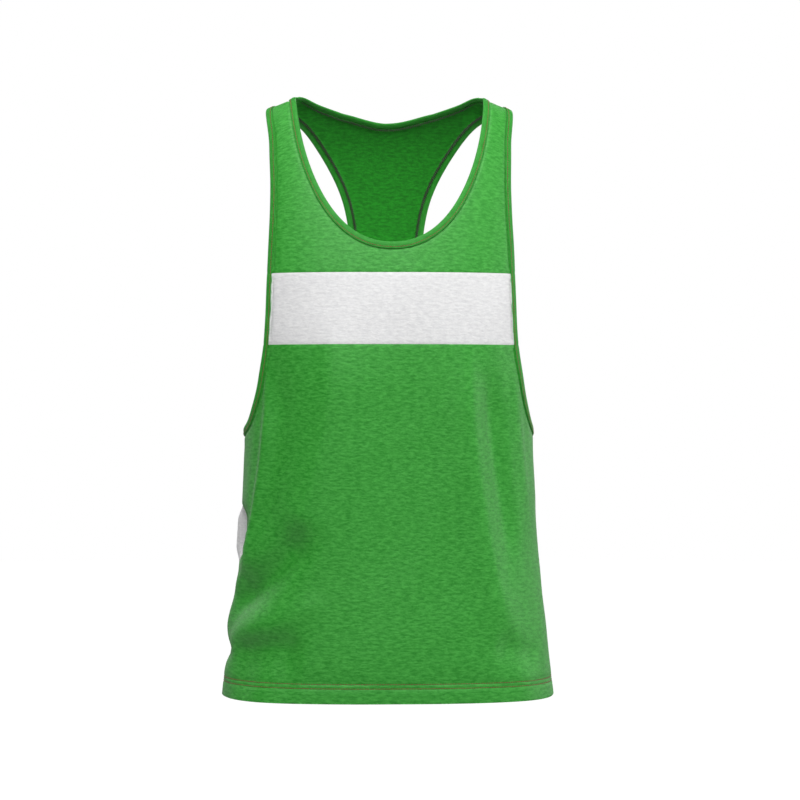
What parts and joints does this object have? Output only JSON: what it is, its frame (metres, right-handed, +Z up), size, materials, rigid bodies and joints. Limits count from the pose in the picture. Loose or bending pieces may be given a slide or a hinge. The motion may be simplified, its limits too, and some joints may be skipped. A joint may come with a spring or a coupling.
{
  "type": "training vest",
  "caption": "Sleeveless racerback training vest in heather jersey with contrast bands, deep armholes and bound edges, hollow as if worn.",
  "frame": {"origin": "midway between the two shoulder straps, level with the ridge where they lie on the wearer's shoulders", "axes": "+X towards the viewer's right as the chest is faced, +Y from the chest towards the back, +Z up"},
  "size_m": [0.3971, 0.2272, 0.7145],
  "materials": {
    "jersey": "matt heather single jersey, mid green",
    "contrast_jersey": "matt heather single jersey, off-white",
    "binding": "matt folded jersey strip, mid green",
    "thread": "matt brown sewing thread"
  },
  "bodies": {
    "root": {"front_yoke": "jersey", "chest_band": "contrast_jersey", "front_body": "jersey", "back_yoke": "jersey", "back_band": "contrast_jersey", "back_body": "jersey", "neck_binding": "binding", "armhole_binding_left": "binding", "armhole_binding_right": "binding"}
  },
  "joints": []
}
